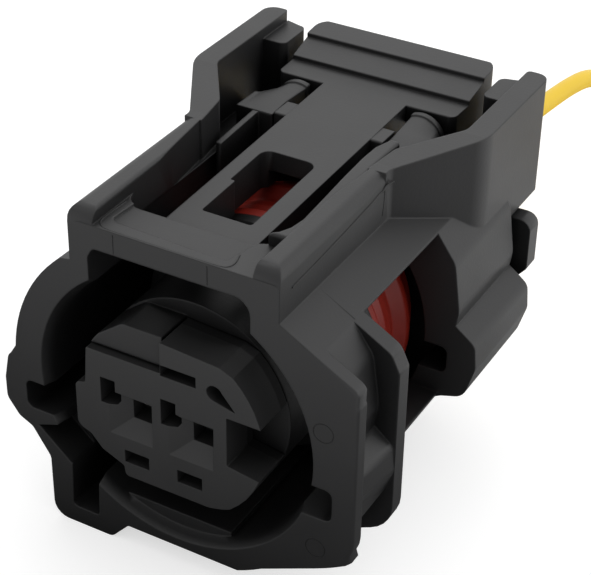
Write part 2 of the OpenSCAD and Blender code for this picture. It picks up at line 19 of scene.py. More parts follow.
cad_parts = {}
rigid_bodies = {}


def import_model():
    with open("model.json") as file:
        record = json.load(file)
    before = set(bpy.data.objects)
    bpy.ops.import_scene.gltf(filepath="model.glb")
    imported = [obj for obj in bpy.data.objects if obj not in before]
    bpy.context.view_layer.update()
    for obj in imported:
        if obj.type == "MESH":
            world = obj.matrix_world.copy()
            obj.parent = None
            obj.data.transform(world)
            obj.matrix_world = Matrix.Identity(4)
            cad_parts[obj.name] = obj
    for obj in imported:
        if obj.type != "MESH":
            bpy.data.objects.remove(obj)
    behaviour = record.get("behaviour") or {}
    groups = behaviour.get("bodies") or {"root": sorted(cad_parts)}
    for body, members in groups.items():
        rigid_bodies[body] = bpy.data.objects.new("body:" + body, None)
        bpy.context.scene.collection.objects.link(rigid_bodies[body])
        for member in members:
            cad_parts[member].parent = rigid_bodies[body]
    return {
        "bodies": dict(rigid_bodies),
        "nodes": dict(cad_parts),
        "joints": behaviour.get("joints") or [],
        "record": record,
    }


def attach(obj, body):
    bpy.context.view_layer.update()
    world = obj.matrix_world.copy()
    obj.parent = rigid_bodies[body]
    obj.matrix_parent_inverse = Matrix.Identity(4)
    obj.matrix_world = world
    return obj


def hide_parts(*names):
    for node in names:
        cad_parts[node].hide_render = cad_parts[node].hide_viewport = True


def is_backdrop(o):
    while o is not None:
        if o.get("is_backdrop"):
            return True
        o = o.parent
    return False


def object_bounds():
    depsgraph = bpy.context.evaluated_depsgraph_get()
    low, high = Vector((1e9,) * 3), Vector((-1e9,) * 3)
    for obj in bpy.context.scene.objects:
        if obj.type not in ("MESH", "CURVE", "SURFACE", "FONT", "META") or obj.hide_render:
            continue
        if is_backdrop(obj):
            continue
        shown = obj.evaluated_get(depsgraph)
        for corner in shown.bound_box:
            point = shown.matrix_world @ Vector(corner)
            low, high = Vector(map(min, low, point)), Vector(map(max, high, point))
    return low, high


LOG = logging.getLogger("connector")
MM = 0.001
Point = tuple[float, float, float]


class Body(str, Enum):
    """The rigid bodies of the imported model."""

    HOUSING = "housing_body"
    LEVER = "lever_body"
    HOLDER = "holder_body"


class Slot(str, Enum):
    """The material slots that the record names."""

    HOUSING = "housing_black"
    HOLDER = "holder_black"
    WIRE = "wire_yellow"


class Side(int, Enum):
    """Which way along X a coil lies from its wire."""

    LEFT = -1
    RIGHT = 1


# ------------------------------------------------------------------ shared steps


def set_inputs(node: bpy.types.Node, values: dict[str, Any]) -> None:
    """Sets inputs of a node.

    Args:
        node: the node.
        values: the values by the inputs' names.
    """
    for name, value in values.items():
        node.inputs[name].default_value = value


def add_node(tree: bpy.types.NodeTree, kind: str,
             values: dict[str, Any] | None = None) -> bpy.types.Node:
    """Adds a node to a tree.

    Args:
        tree: the tree.
        kind: the node's type.
        values: values by the names of its inputs, if any are set.

    Returns:
        The node.
    """
    node = tree.nodes.new(kind)
    set_inputs(node, values or {})
    return node


def connect(tree: bpy.types.NodeTree,
            *joins: tuple[bpy.types.Node, str, bpy.types.Node, str]) -> None:
    """Links nodes of a tree.

    Args:
        tree: the tree.
        joins: for each link a node and its output, then a node and its input.
    """
    for source, output, target, entry in joins:
        tree.links.new(source.outputs[output], target.inputs[entry])


def add_range(tree: bpy.types.NodeTree, span: tuple[float, float],
              levels: tuple[float, float]) -> bpy.types.Node:
    """Adds a node that maps one range of values to another.

    Args:
        tree: the tree.
        span: the range it takes.
        levels: the range it gives.

    Returns:
        The node.
    """
    return add_node(tree, "ShaderNodeMapRange", {
        "From Min": span[0], "From Max": span[1], "To Min": levels[0], "To Max": levels[1]})


def fall_along_y(tree: bpy.types.NodeTree, coords: bpy.types.Node, kind: str,
                 span: tuple[float, float], levels: tuple[float, float]) -> bpy.types.Node:
    """Adds a value that changes along Y and is level before and behind.

    Args:
        tree: the tree.
        coords: its coordinates.
        kind: which of them to use.
        span: where the change starts and ends.
        levels: the values there.

    Returns:
        The node that gives it.
    """
    split, fall = add_node(tree, "ShaderNodeSeparateXYZ"), add_range(tree, span, levels)
    connect(tree, (coords, kind, split, "Vector"), (split, "Y", fall, "Value"))
    return fall


def add_object(name: str, data: bpy.types.ID) -> bpy.types.Object:
    """Puts a mesh, a light or a camera into the scene.

    Args:
        name: the object's name.
        data: what it holds.

    Returns:
        The object.
    """
    made = bpy.data.objects.new(name, data)
    bpy.context.collection.objects.link(made)
    return made


def make_piece(name: str, work: bmesh.types.BMesh, material: bpy.types.Material | None = None,
               smooth_faces: bool = False) -> bpy.types.Object:
    """Turns a mesh under work into a piece of the scene.

    Args:
        name: the piece's name.
        work: the mesh, in metres; it is freed.
        material: its finish, if it has one.
        smooth_faces: whether its faces are shaded smooth.

    Returns:
        The piece.
    """
    mesh = bpy.data.meshes.new(name)
    work.to_mesh(mesh)
    work.free()
    if material is not None:
        mesh.materials.append(material)
    for face in mesh.polygons:
        face.use_smooth = smooth_faces
    return add_object(name, mesh)


def loft(work: bmesh.types.BMesh, outlines: Sequence[Sequence[Point]],
         closed: bool = False) -> None:
    """Joins outlines of equal length with faces, one after another.

    Args:
        work: the mesh to add to, in metres.
        outlines: the outlines in turn, in millimetres.
        closed: whether the last one joins the first, so that no end is capped.
    """
    rings = [[work.verts.new(Vector(p) * MM) for p in outline] for outline in outlines]
    count = len(rings[0])
    followers = rings[1:] + rings[:1] if closed else rings[1:]
    for one, two in zip(rings, followers):
        for i in range(count):
            j = (i + 1) % count
            work.faces.new((one[i], one[j], two[j], two[i]))
    if not closed:
        work.faces.new(rings[0])
        work.faces.new(list(reversed(rings[-1])))
    bmesh.ops.recalc_face_normals(work, faces=work.faces)


@dataclass(frozen=True)
class EdgeRound:
    """A live rounding of the edges whose faces meet at more than sharp degrees."""

    width: float
    segments: int
    sharp: float
    flat_faces: bool = True
    face_weight: int = 100

    def apply(self, piece: bpy.types.Object) -> None:
        """Adds the rounding.

        Args:
            piece: the piece.
        """
        bevel = piece.modifiers.new("soft_edges", "BEVEL")
        bevel.width = self.width * MM
        bevel.segments = self.segments
        bevel.limit_method = "ANGLE"
        bevel.angle_limit = math.radians(self.sharp)
        if self.flat_faces:
            even = piece.modifiers.new("flat_faces", "WEIGHTED_NORMAL")
            even.weight = self.face_weight


def hand_over(piece: bpy.types.Object, body: Body) -> None:
    """Says which body a piece rides on.

    Args:
        piece: the piece.
        body: its body.
    """
    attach(piece, body.value)


# ------------------------------------------------------------------ finishes


@dataclass(frozen=True)
class Finish:
    """A moulded, rubbery or metal finish: its colour, gloss and the texture of its skin.

    Recesses carry painted shade: an occlusion pass makes them darker and duller than the open
    faces, by the given share.
    What lies behind a given place along Y carries painted shade too and keeps only the given level
    of its gloss.
    """

    name: str
    color: tuple[float, float, float]
    roughness: float
    grain: float
    grain_scale: float
    mottle: float
    metallic: float = 0.0
    specular: float = 0.5
    edge: float = 0.0
    edge_samples: int = 6
    cloud_scale: float = 260.0
    roughness_spread: tuple[float, float] = (-0.05, 0.07)
    grain_height: float = 0.02
    recess_shade: float = 0.0
    recess_reach: float = 6.0
    recess_span: tuple[float, float] = (0.12, 0.62)
    recess_samples: int = 6
    shade_behind: float = 0.0
    shade_run: float = 0.12
    shade_level: float = 0.3

    def paint_recess_shade(self, tree: bpy.types.NodeTree, tint: bpy.types.Node,
                       shader: bpy.types.Node) -> bpy.types.Node:
        """Paints shade into the recesses: takes colour and gloss from them by ambient occlusion.

        Args:
            tree: the material's tree.
            tint: the node that gives the open faces' colour.
            shader: its shader.

        Returns:
            The node that gives the gloss.
        """
        hollow = add_node(tree, "ShaderNodeAmbientOcclusion",
                          {"Distance": self.recess_reach * MM})
        hollow.samples = self.recess_samples
        gloss = add_range(tree, self.recess_span,
                          (self.specular * (1.0 - self.recess_shade), self.specular))
        shade = add_node(tree, "ShaderNodeMixRGB", {"Fac": self.recess_shade})
        shade.blend_type = "MULTIPLY"
        connect(tree, (hollow, "AO", gloss, "Value"),
                (gloss, "Result", shader, "Specular IOR Level"), (tint, "Color", shade, "Color1"),
                (hollow, "AO", shade, "Color2"), (shade, "Color", shader, "Base Color"))
        return gloss

    def paint_rear_shade(self, tree: bpy.types.NodeTree, coords: bpy.types.Node, gloss: bpy.types.Node,
                 shader: bpy.types.Node) -> None:
        """Paints shade on what lies behind a place along Y, taking most of its gloss.

        Args:
            tree: the material's tree.
            coords: its coordinates.
            gloss: the node that gives its gloss.
            shader: its shader.
        """
        span = (self.shade_behind * MM, (self.shade_behind + self.shade_run) * MM)
        fall = fall_along_y(tree, coords, "Object", span, (1.0, self.shade_level))
        product = add_node(tree, "ShaderNodeMath")
        product.operation = "MULTIPLY"
        connect(tree, (product, "Value", shader, "Specular IOR Level"))
        tree.links.new(fall.outputs["Result"], product.inputs[0])
        tree.links.new(gloss.outputs["Result"], product.inputs[1])

    def roughen(self, tree: bpy.types.NodeTree, coords: bpy.types.Node,
                shader: bpy.types.Node) -> None:
        """Gives the skin its fine grain, and its edges a hint of rounding.

        Args:
            tree: the material's tree.
            coords: its coordinates.
            shader: its shader.
        """
        skin = add_node(tree, "ShaderNodeTexNoise", {"Scale": self.grain_scale, "Detail": 2.0})
        bump = add_node(tree, "ShaderNodeBump",
                        {"Strength": self.grain, "Distance": self.grain_height * MM})
        connect(tree, (coords, "Object", skin, "Vector"), (skin, "Fac", bump, "Height"),
                (bump, "Normal", shader, "Normal"))
        if self.edge > 0.0:
            fillet = add_node(tree, "ShaderNodeBevel", {"Radius": self.edge * MM})
            fillet.samples = self.edge_samples
            connect(tree, (fillet, "Normal", bump, "Normal"))

    def build(self) -> bpy.types.Material:
        """Makes the node material.

        Returns:
            The finish, on Object coordinates.
        """
        material = bpy.data.materials.new(self.name)
        material.use_nodes = True
        tree = material.node_tree
        tree.nodes.clear()
        out = add_node(tree, "ShaderNodeOutputMaterial")
        shader = add_node(tree, "ShaderNodeBsdfPrincipled",
                          {"Specular IOR Level": self.specular, "Metallic": self.metallic})
        coords = add_node(tree, "ShaderNodeTexCoord")
        cloud = add_node(tree, "ShaderNodeTexNoise", {"Scale": self.cloud_scale, "Detail": 3.0})
        tint = add_node(tree, "ShaderNodeMixRGB",
                        {"Fac": self.mottle, "Color1": (*self.color, 1.0)})
        tint.blend_type = "MULTIPLY"
        smoother, rougher = self.roughness_spread
        spread = add_range(tree, (0.0, 1.0),
                           (self.roughness + smoother, self.roughness + rougher))
        connect(tree, (shader, "BSDF", out, "Surface"), (coords, "Object", cloud, "Vector"),
                (cloud, "Fac", tint, "Color2"), (tint, "Color", shader, "Base Color"),
                (cloud, "Fac", spread, "Value"), (spread, "Result", shader, "Roughness"))
        if self.recess_shade > 0.0:
            gloss = self.paint_recess_shade(tree, tint, shader)
            if self.shade_behind > 0.0:
                self.paint_rear_shade(tree, coords, gloss, shader)
        self.roughen(tree, coords, shader)
        return material


# All three blacks carry painted shade: their recesses are darkened and dulled by ambient
# occlusion.
HOUSING = Finish("housing_black", color=(0.021, 0.021, 0.0218), roughness=0.46, grain=0.32,
                 grain_scale=5200.0, mottle=0.3, edge=0.16, recess_shade=0.85)
LEVER = Finish("lever_black", color=(0.022, 0.022, 0.0228), roughness=0.44, grain=0.32,
               grain_scale=5200.0, mottle=0.3, edge=0.12, recess_shade=0.85)
# The holder also carries painted shade behind 1.85 mm along Y, where it lies deep inside the hood.
HOLDER = Finish("holder_black", color=(0.031, 0.031, 0.0316), roughness=0.5, grain=0.32,
                grain_scale=5200.0, mottle=0.3, edge=0.08, recess_shade=0.6, shade_behind=1.85)
SILICONE = Finish("silicone_red", color=(0.27, 0.016, 0.008), roughness=0.42, grain=0.15,
                  grain_scale=3000.0, mottle=0.3, cloud_scale=420.0)
INSULATION = Finish("insulation_yellow", color=(0.90, 0.60, 0.02), roughness=0.4, grain=0.1,
                    grain_scale=2600.0, mottle=0.1)
TINNED = Finish("tinned_bronze", color=(0.62, 0.60, 0.56), roughness=0.3, grain=0.1,
                grain_scale=2600.0, mottle=0.2, metallic=1.0)
STRANDS = Finish("bare_copper", color=(0.75, 0.38, 0.2), roughness=0.32, grain=0.3,
                 grain_scale=9000.0, mottle=0.2, metallic=1.0)
TIE = Finish("tie_black", color=(0.03, 0.03, 0.03), roughness=0.45, grain=0.2,
             grain_scale=4000.0, mottle=0.2)


# ------------------------------------------------------------------ camera and stage


@dataclass(frozen=True)
class Viewpoint:
    """The camera: its place in metres, its right, down and ahead, and its lens."""

    place: Point
    rows: tuple[Point, Point, Point]
    lens: float
    sensor: float = 36.0
    near: float = 0.005

    def build(self) -> None:
        """Adds the camera and makes it the scene's own."""
        data = bpy.data.cameras.new("camera")
        data.lens = self.lens
        data.sensor_width = self.sensor
        data.clip_start = self.near
        camera = add_object("camera", data)
        right, down, ahead = (Vector(row) for row in self.rows)
        turn = Matrix((right, -down, -ahead)).transposed().to_4x4()
        camera.matrix_world = Matrix.Translation(Vector(self.place)) @ turn
        bpy.context.scene.camera = camera


VIEWPOINT = Viewpoint(
    place=(0.04681, -0.06951, 0.06503),
    rows=((0.86931, 0.49405, 0.0148), (0.28402, -0.47479, -0.83301),
          (-0.40452, 0.72834, -0.55306)),
    lens=105.94,
)


@dataclass(frozen=True)
class SoftBox:
    """A square soft light, its place and target in metres and its power in watts."""

    name: str
    place: Point
    size: float
    power: float
    target: Point = (0.0, 0.012, 0.0)

    def build(self) -> None:
        """Adds the light."""
        data = bpy.data.lights.new(self.name, "AREA")
        data.size = self.size
        data.energy = self.power
        light = add_object(self.name, data)
        light.location = self.place
        aim = Vector(self.target) - Vector(self.place)
        light.rotation_euler = aim.to_track_quat("-Z", "Y").to_euler()


@dataclass(frozen=True)
class Studio:
    """The white floor, the surround and the soft boxes, in metres.

    The camera sees white all round.  What the part mirrors carries painted shade on the floor:
    dimmer in front of it, as where someone stands at the camera, and darkest in a band just in
    front of and under the part's front.
    """

    half: float = 1.5
    paper_roughness: float = 0.9
    paper_seen: float = 0.55
    glow_seen: float = 0.62
    floor_span: tuple[float, float] = (-0.05, 0.07)
    # painted shade on the floor as the part mirrors it, darkest close to the part
    floor_shade_levels: tuple[tuple[float, float], ...] = (
        (0.0, 1.0), (0.20, 0.9), (0.27, 0.28), (0.34, 0.14), (0.55, 0.22), (0.80, 0.95))
    surround_span: tuple[float, float] = (-0.7, 0.35)
    surround_levels: tuple[float, float] = (0.55, 1.05)
    boxes: tuple[SoftBox, ...] = (
        SoftBox("key_box", place=(-0.10, 0.16, 0.34), size=0.26, power=0.22),
        SoftBox("side_box", place=(0.30, 0.10, 0.20), size=0.20, power=0.20),
    )

    def floor_paper(self) -> bpy.types.Material:
        """Makes the floor's finish.

        Returns:
            White paper, dimmer in front of the part for every ray but the camera's.
        """
        paper = bpy.data.materials.new("floor_white")
        paper.use_nodes = True
        tree = paper.node_tree
        shader = tree.nodes["Principled BSDF"]
        set_inputs(shader, {"Roughness": self.paper_roughness, "Specular IOR Level": 0.0,
                            "Emission Color": (1.0, 1.0, 1.0, 1.0)})
        coords, fade = add_node(tree, "ShaderNodeTexCoord"), add_node(tree, "ShaderNodeValToRGB")
        along = fall_along_y(tree, coords, "Object", self.floor_span, (0.0, 1.0))
        while len(fade.color_ramp.elements) < len(self.floor_shade_levels):
            fade.color_ramp.elements.new(0.5)
        for stop, (place, level) in zip(fade.color_ramp.elements, self.floor_shade_levels):
            stop.position = place
            stop.color = (level, level, level, 1.0)
        ray = add_node(tree, "ShaderNodeLightPath")
        pick = add_node(tree, "ShaderNodeMix", {"B": self.paper_seen})
        glow = add_node(tree, "ShaderNodeMix", {"A": 0.0, "B": self.glow_seen})
        connect(tree, (along, "Result", fade, "Fac"), (fade, "Color", pick, "A"),
                (ray, "Is Camera Ray", pick, "Factor"), (ray, "Is Camera Ray", glow, "Factor"),
                (pick, "Result", shader, "Base Color"),
                (glow, "Result", shader, "Emission Strength"))
        return paper

    def surround(self) -> bpy.types.World:
        """Makes the surround.

        Returns:
            White for the camera, fading towards the front for every other ray.
        """
        world = bpy.data.worlds.new("surround")
        world.use_nodes = True
        tree = world.node_tree
        back = tree.nodes["Background"]
        set_inputs(back, {"Color": (1.0, 1.0, 1.0, 1.0)})
        coords, ray = add_node(tree, "ShaderNodeTexCoord"), add_node(tree, "ShaderNodeLightPath")
        fade = fall_along_y(tree, coords, "Generated", self.surround_span, self.surround_levels)
        pick = add_node(tree, "ShaderNodeMix", {"B": 1.0})
        connect(tree, (ray, "Is Camera Ray", pick, "Factor"), (fade, "Result", pick, "A"),
                (pick, "Result", back, "Strength"))
        return world

    def build(self, low: float) -> None:
        """Adds the floor, the surround and the lights.

        Args:
            low: height of the surface that the part lies on, in metres.
        """
        mesh = bpy.data.meshes.new("floor")
        half = self.half
        mesh.from_pydata(
            [(-half, -half, low), (half, -half, low), (half, half, low), (-half, half, low)],
            [], [(0, 1, 2, 3)])
        mesh.materials.append(self.floor_paper())
        add_object("floor", mesh)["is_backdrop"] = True
        bpy.context.scene.world = self.surround()
        for box in self.boxes:
            box.build()
        bpy.context.scene.view_settings.view_transform = "Standard"


# ------------------------------------------------------------------ wires


def smooth(points: Sequence[Vector], steps: int) -> list[Vector]:
    """Runs a Catmull-Rom curve through points.

    Args:
        points: the points to pass through.
        steps: pieces between two of them.

    Returns:
        The points of the curve.
    """
    padded = [2 * points[0] - points[1], *points, 2 * points[-1] - points[-2]]
    run = []
    for a, b, c, d in zip(padded, padded[1:], padded[2:], padded[3:]):
        for i in range(steps):
            t = i / steps
            run.append(0.5 * ((2 * b) + (c - a) * t + (2 * a - 5 * b + 4 * c - d) * t ** 2
                              + (3 * b - a - 3 * c + d) * t ** 3))
    run.append(points[-1])
    return run


def sweep_tree() -> bpy.types.NodeTree:
    """Builds the node tree that sweeps a round section along a path of edges.

    Returns:
        The tree, with inputs Radius, Sides and Finish.
    """
    tree = bpy.data.node_groups.new("round_sweep", "GeometryNodeTree")
    face = tree.interface
    for name, kind in (("Path", "Geometry"), ("Radius", "Float"), ("Sides", "Int"),
                       ("Finish", "Material")):
        face.new_socket(name, in_out="INPUT", socket_type=f"NodeSocket{kind}")
    face.new_socket("Tube", in_out="OUTPUT", socket_type="NodeSocketGeometry")
    given, made = add_node(tree, "NodeGroupInput"), add_node(tree, "NodeGroupOutput")
    path = add_node(tree, "GeometryNodeMeshToCurve")
    ring = add_node(tree, "GeometryNodeCurvePrimitiveCircle")
    tube = add_node(tree, "GeometryNodeCurveToMesh", {"Fill Caps": True})
    soft = add_node(tree, "GeometryNodeSetShadeSmooth")
    real = add_node(tree, "GeometryNodeRealizeInstances")
    coat = add_node(tree, "GeometryNodeSetMaterial")
    connect(tree, (given, "Path", path, "Mesh"), (given, "Radius", ring, "Radius"),
            (given, "Sides", ring, "Resolution"), (path, "Curve", tube, "Curve"),
            (ring, "Curve", tube, "Profile Curve"), (tube, "Mesh", soft, "Geometry"),
            (soft, "Geometry", real, "Geometry"), (real, "Geometry", coat, "Geometry"),
            (given, "Finish", coat, "Material"), (coat, "Geometry", made, "Tube"))
    return tree


def settle(piece: bpy.types.Object, name: str) -> bpy.types.Object:
    """Turns a piece with live modifiers into one with a plain mesh.

    Args:
        piece: the piece, linked to the scene.
        name: the plain piece's name.

    Returns:
        The plain piece, in the other's place.
    """
    bpy.context.view_layer.update()
    graph = bpy.context.evaluated_depsgraph_get()
    mesh = bpy.data.meshes.new_from_object(piece.evaluated_get(graph))
    mesh.name = name
    piece.modifiers.clear()
    bpy.data.objects.remove(piece, do_unlink=True)
    return add_object(name, mesh)


@dataclass(frozen=True)
class Sweep:
    """A round section swept along a path of points, by geometry nodes."""

    name: str
    radius: float
    sides: int

    def build(self, runs: Sequence[Sequence[Vector]], tree: bpy.types.NodeTree,
              material: bpy.types.Material) -> bpy.types.Object:
        """Makes the swept piece.

        Args:
            runs: one or more open paths, in metres.
            tree: the tree of sweep_tree.
            material: its finish.

        Returns:
            The piece, as a plain mesh.
        """
        points, edges = [], []
        for run in runs:
            start = len(points)
            points += [tuple(p) for p in run]
            edges += [(i, i + 1) for i in range(start, len(points) - 1)]
        mesh = bpy.data.meshes.new(self.name)
        mesh.from_pydata(points, edges, [])
        piece = add_object(self.name, mesh)
        modifier = piece.modifiers.new("sweep", "NODES")
        modifier.node_group = tree
        values = {"Radius": self.radius * MM, "Sides": self.sides, "Finish": material}
        for socket in tree.interface.items_tree:
            if socket.in_out == "INPUT" and socket.name in values:
                modifier[socket.identifier] = values[socket.name]
        return settle(piece, self.name)


@dataclass(frozen=True)
class Wire:
    """One insulated wire: its route outside the seal and the coil of its spare length."""

    name: str
    route: tuple[Point, ...]
    side: Side
    exit_point: Point
    diameter: float = 1.5
    sides: int = 20
    coil_radius: float = 7.5
    turns: int = 2
    steps_per_turn: int = 24
    climb_start: float = 0.85
    curve_steps: int = 4

    def path(self) -> list[Vector]:
        """Works out the points that the wire follows.

        Returns:
            The points from the crimp to the cut end, in metres.
        """
        points = [Vector(p) * MM for p in self.route]
        reach, side = self.coil_radius * MM, self.side.value
        middle = points[-1] + Vector((side * reach, 0.0, 0.0))
        for step in range(1, self.turns * self.steps_per_turn + 1):
            turn = step / self.steps_per_turn
            angle = math.tau * turn
            climb = min(max((turn - self.climb_start) / (1.0 - self.climb_start), 0.0), 1.0)
            points.append(middle + Vector((
                -side * reach * math.cos(angle), reach * math.sin(angle),
                self.diameter * MM * (3 * climb ** 2 - 2 * climb ** 3))))
        return points

    def build(self, tree: bpy.types.NodeTree, material: bpy.types.Material) -> None:
        """Args:
            tree: the tree of sweep_tree.
            material: its insulation.
        """
        points = smooth(self.path(), self.curve_steps)
        piece = Sweep(self.name, self.diameter / 2, self.sides).build([points], tree, material)
        side = self.side.name.lower()
        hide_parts(f"wire_{side}", f"coil_{side}")
        hand_over(piece, Body.HOUSING)


WIRE_Z = -11.15
WIRES = (
    Wire(name="insulated_wire_right", side=Side.RIGHT, exit_point=(2.3, 28.0, 0.0),
         route=((2.3, 14.6, 0), (2.3, 18, 0), (2.3, 22, 0), (2.3, 26, 0), (2.3, 30, 0),
                (2.4, 34, 0), (2.5, 38, 0), (2.7, 42, 0), (2.9, 46, 0), (3.2, 50, -0.1),
                (3.7, 54, -0.2), (4.2, 57, -0.6), (4.7, 59.4, -1.8), (5.1, 61, -3.8),
                (5.3, 62, -6.2), (5.3, 63, -8.6), (5.1, 64.6, -10.4), (4.9, 67, WIRE_Z),
                (4.8, 69, WIRE_Z))),
    Wire(name="insulated_wire_left", side=Side.LEFT, exit_point=(-2.1, 28.0, 0.0),
         route=((-2.1, 14.6, 0), (-2.1, 18, 0), (-2.1, 22, 0), (-2.1, 26, 0), (-2.1, 30, 0),
                (-2.1, 33, -0.3), (-1.9, 36, -1.4), (-1.6, 38.4, -3.4), (-1.2, 40.2, -6),
                (-0.8, 42, -8.6), (-0.3, 44, -10.5), (0.2, 46.4, WIRE_Z), (0.4, 49, WIRE_Z))),
)


# ------------------------------------------------------------------ dressed mouldings


@dataclass(frozen=True)
class Nudge:
    """A small shift of the corners in a box, where the skin's form differs from the CAD's."""

    low: Point
    high: Point
    shift: Point

    def apply(self, work: bmesh.types.BMesh) -> None:
        """Shifts the corners that lie in the box.

        Args:
            work: the mesh, in metres.
        """
        for vert in work.verts:
            if all(a * MM <= c <= b * MM for a, c, b in zip(self.low, vert.co, self.high)):
                vert.co += Vector(self.shift) * MM


@dataclass(frozen=True)
class LeadIn:
    """A funnel that leads a test probe into a square hole of the holder.

    Over its depth its left and lower sides close in by the slope, the other two by the drift.
    Its mouth stands proud of the holder's face, along the same slopes.
    """

    left: float
    right: float
    low: float
    high: float
    face: float = -0.5
    proud: float = 0.2
    depth: float = 0.6
    drift: tuple[float, float] = (0.33, 0.46)
    slope: tuple[float, float] = (1.46, 1.34)
    rear: float = 1.4

    def build(self) -> bpy.types.Object:
        """Makes the funnel's own shape.

        Returns:
            A piece to cut with.
        """
        (across, up), (inward, upward) = self.drift, self.slope
        ahead = self.proud / self.depth
        deep = (self.left + inward, self.right - across, self.low + upward, self.high - up)
        mouth = (self.left - inward * ahead, self.right + across * ahead,
                 self.low - upward * ahead, self.high + up * ahead)
        stations = ((self.face - self.proud, mouth), (self.face + self.depth, deep),
                    (self.rear, deep))
        work = bmesh.new()
        loft(work, [((left, y, low), (right, y, low), (right, y, high), (left, y, high))
                    for y, (left, right, low, high) in stations])
        return make_piece("lead_in", work)


@dataclass(frozen=True)
class HoodEdge:
    """The soft front edge of the hood: drawn out at its round left side, rounded at its right.

    The left values bound the corners that are drawn out.  The right ones and the two sums of X
    and Z at the corners bound the edges that are rounded.
    """

    flare: float = 0.38
    width: float = 0.75
    segments: int = 4
    left_depth: float = 0.5
    left_end: float = -7.3
    left_heights: tuple[float, float] = (0.5, 9.1)
    left_radii: tuple[float, float] = (11.3, 11.65)
    right_start: float = 7.6
    right_side: float = 11.6
    upper_corner: float = 15.4
    lower_corner: float = 16.5
    near: float = 0.01

    def draw_out(self, work: bmesh.types.BMesh) -> None:
        """Moves the round left side's front edge away from the axis.

        Args:
            work: the housing's mesh, in metres.
        """
        (low, high), (small, large) = self.left_heights, self.left_radii
        for vert in work.verts:
            spot = vert.co / MM
            radius = math.hypot(spot.x, spot.z)
            if (spot.y < self.left_depth and spot.x < self.left_end and low < spot.z < high
                    and small < radius < large):
                growth = (radius + self.flare) / radius
                vert.co.x *= growth
                vert.co.z *= growth

    def is_outer(self, spot: Vector) -> bool:
        """Tells whether a corner is on the right side's outline.

        Args:
            spot: its place, in millimetres.

        Returns:
            Whether it is.
        """
        beyond = (spot.x > self.right_side or spot.x + spot.z > self.upper_corner
                  or spot.x - spot.z > self.lower_corner)
        return abs(spot.y) < self.near and spot.x > self.right_start and beyond

    def round_right(self, work: bmesh.types.BMesh) -> None:
        """Rounds the right side's front edge.

        Args:
            work: the housing's mesh, in metres.
        """
        edges = [edge for edge in work.edges
                 if all(self.is_outer(vert.co / MM) for vert in edge.verts)]
        bmesh.ops.bevel(work, geom=edges, offset=self.width * MM, segments=self.segments,
                        profile=0.5, affect="EDGES", clamp_overlap=True)
        LOG.info("hood rounded along %d edges", len(edges))


@dataclass(frozen=True)
class Moulding:
    """A CAD node re-skinned with soft edges, in place of its faceted shape.

    Corners closer than merge_distance, in metres, become one.  Faces that turn by less than
    flat_angle, in degrees, become one.
    """

    node: str
    body: Body
    slot: Slot
    rounding: EdgeRound
    nudges: tuple[Nudge, ...] = ()
    lead_ins: tuple[LeadIn, ...] = ()
    hood_edge: HoodEdge | None = None
    merge_distance: float = 2e-6
    flat_angle: float = 0.6

    def cut(self, piece: bpy.types.Object) -> bpy.types.Object:
        """Cuts the funnels out of the skin.

        Args:
            piece: the skin.

        Returns:
            The skin with its funnels.
        """
        cutters = [lead_in.build() for lead_in in self.lead_ins]
        for cutter in cutters:
            take = piece.modifiers.new("lead_in", "BOOLEAN")
            take.object = cutter
            take.operation = "DIFFERENCE"
            take.solver = "EXACT"
        piece = settle(piece, piece.name)
        for cutter in cutters:
            bpy.data.objects.remove(cutter, do_unlink=True)
        return piece

    def build(self, frame: dict[str, Any], material: bpy.types.Material) -> None:
        """Copies the node's mesh, joins its faces and rounds its edges.

        Args:
            frame: the loaded model.
            material: the finish.
        """
        work = bmesh.new()
        work.from_mesh(frame["nodes"][self.node].data)
        bmesh.ops.remove_doubles(work, verts=work.verts, dist=self.merge_distance)
        bmesh.ops.dissolve_limit(work, angle_limit=math.radians(self.flat_angle),
                                 verts=work.verts, edges=work.edges)
        for nudge in self.nudges:
            nudge.apply(work)
        if self.hood_edge is not None:
            self.hood_edge.draw_out(work)
            self.hood_edge.round_right(work)
        piece = make_piece(f"{self.node}_skin", work, material)
        if self.lead_ins:
            piece = self.cut(piece)
        for face in piece.data.polygons:
            face.use_smooth = True
        self.rounding.apply(piece)
        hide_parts(self.node)
        hand_over(piece, self.body)
        LOG.info("%s has %d faces", piece.name, len(piece.data.polygons))


SOFT_EDGE = EdgeRound(width=0.09, segments=2, sharp=32.0)
FINE_EDGE = EdgeRound(width=0.05, segments=2, sharp=17.0)

HOUSING_NUDGES = (
    # the hood's right side, at its front
    Nudge((12.4, -0.1, -12.0), (13.2, 1.3, 9.0), (-0.42, 0.0, 0.0)),
    # corners of the keyway at the lower left
    Nudge((-9.4, -0.1, -7.7), (-8.4, 12.0, -6.7), (1.0, 0.0, 0.3)),
    Nudge((-9.2, -0.1, -11.4), (-8.3, 12.0, -9.7), (0.9, 0.0, 0.75)),
    Nudge((-6.8, -0.1, -11.6), (-5.7, 12.0, -10.4), (-0.1, 0.0, 0.72)),
    # rear corners of the two wings
    Nudge((9.2, 28.3, 2.8), (10.9, 29.4, 13.2), (0.0, 0.32, 0.0)),
    Nudge((-10.9, 28.3, 2.8), (-9.2, 29.4, 13.2), (0.0, 0.32, 0.0)),
)
HOLDER_NUDGES = (Nudge((0.5, -1.0, -5.0), (3.2, 4.0, -3.3), (-0.52, 0.0, 0.0)),)
LEAD_INS = (LeadIn(-4.55, -1.36, -2.62, 0.66), LeadIn(-0.18, 3.02, -2.62, 0.62))


# ------------------------------------------------------------------ fine forms of the housing


